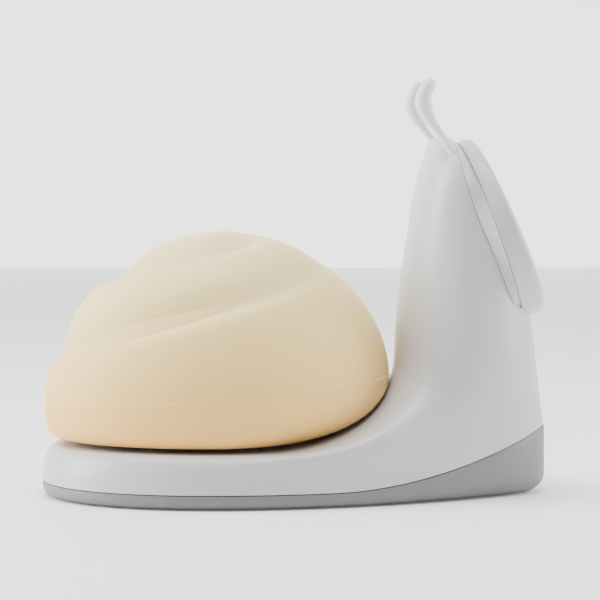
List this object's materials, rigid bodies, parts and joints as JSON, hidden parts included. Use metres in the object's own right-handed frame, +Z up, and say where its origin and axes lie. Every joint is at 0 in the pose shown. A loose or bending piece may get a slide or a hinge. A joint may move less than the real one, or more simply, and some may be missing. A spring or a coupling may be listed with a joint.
{
  "type": "snail desk night light with charging face",
  "caption": "Snail-shaped desk night light: soft press-on shell dome on a long foot, tall neck with a round tilted wireless charging face and two soft tentacles.",
  "frame": {"origin": "middle of the foot at table level, on the symmetry plane", "axes": "+X the way the snail faces, from tail to chin; +Z up; +Y to the snail's left"},
  "size_m": [0.16, 0.098, 0.1311],
  "materials": {
    "white_shell": "satin",
    "grey_cover": "satin",
    "rubber": "matte",
    "steel": "satin",
    "pad": "matte",
    "magnet": "satin",
    "copper": "satin",
    "ferrite": "matte",
    "white_plastic": "matte",
    "board": "satin",
    "tentacle": "satin",
    "silicone": "matte",
    "diffuser": "satin",
    "lamp_board": "satin",
    "led": "gloss",
    "black_plastic": "matte",
    "wire": "satin"
  },
  "bodies": {
    "base": {"upper_housing": "white_shell", "lower_cover": "grey_cover", "foot_pad": "rubber", "housing_screws": "steel", "ballast_plate": "steel", "ballast_screws": "steel", "face_cap": "white_shell", "charge_pad": "pad", "magnet_ring": "magnet", "charge_coil": "copper", "ferrite_disc": "ferrite", "coil_carrier": "white_plastic", "coil_screw": "steel", "charger_board": "board", "charger_board_screws": "steel", "tentacle_right": "tentacle", "tentacle_left": "tentacle", "tentacle_yoke": "white_plastic", "spring_cups": "white_plastic", "return_springs": "steel", "lamp_stand": "white_plastic", "lamp_board": "lamp_board", "lamp_leds": "led", "lamp_board_screws": "steel", "press_switch": "black_plastic", "main_board": "board", "board_chips": "black_plastic", "main_board_screws": "steel", "usb_inlet": "steel", "neck_cable": "wire", "lamp_cable": "wire"},
    "shell": {"shell_skin": "silicone", "diffuser_dome": "diffuser", "shell_carrier": "white_plastic", "carrier_screws": "steel", "carrier_clips": "steel"},
    "plunger": {"switch_plunger": "white_plastic"}
  },
  "joints": [
    {"name": "shell_press", "type": "slide", "parent": "base", "child": "shell", "axis": [0, 0, -1], "range_m": [0, 0.001], "stiffness_N_per_m": 2500, "springref_m": -0.0012, "deforming": ["return_springs"]},
    {"name": "switch_press", "type": "slide", "parent": "base", "child": "plunger", "axis": [0, 0, -1], "range_m": [0, 0.0006]}
  ],
  "couplings": [
    {"joint": "switch_press", "follows": "shell_press", "ratio": 0.6}
  ]
}
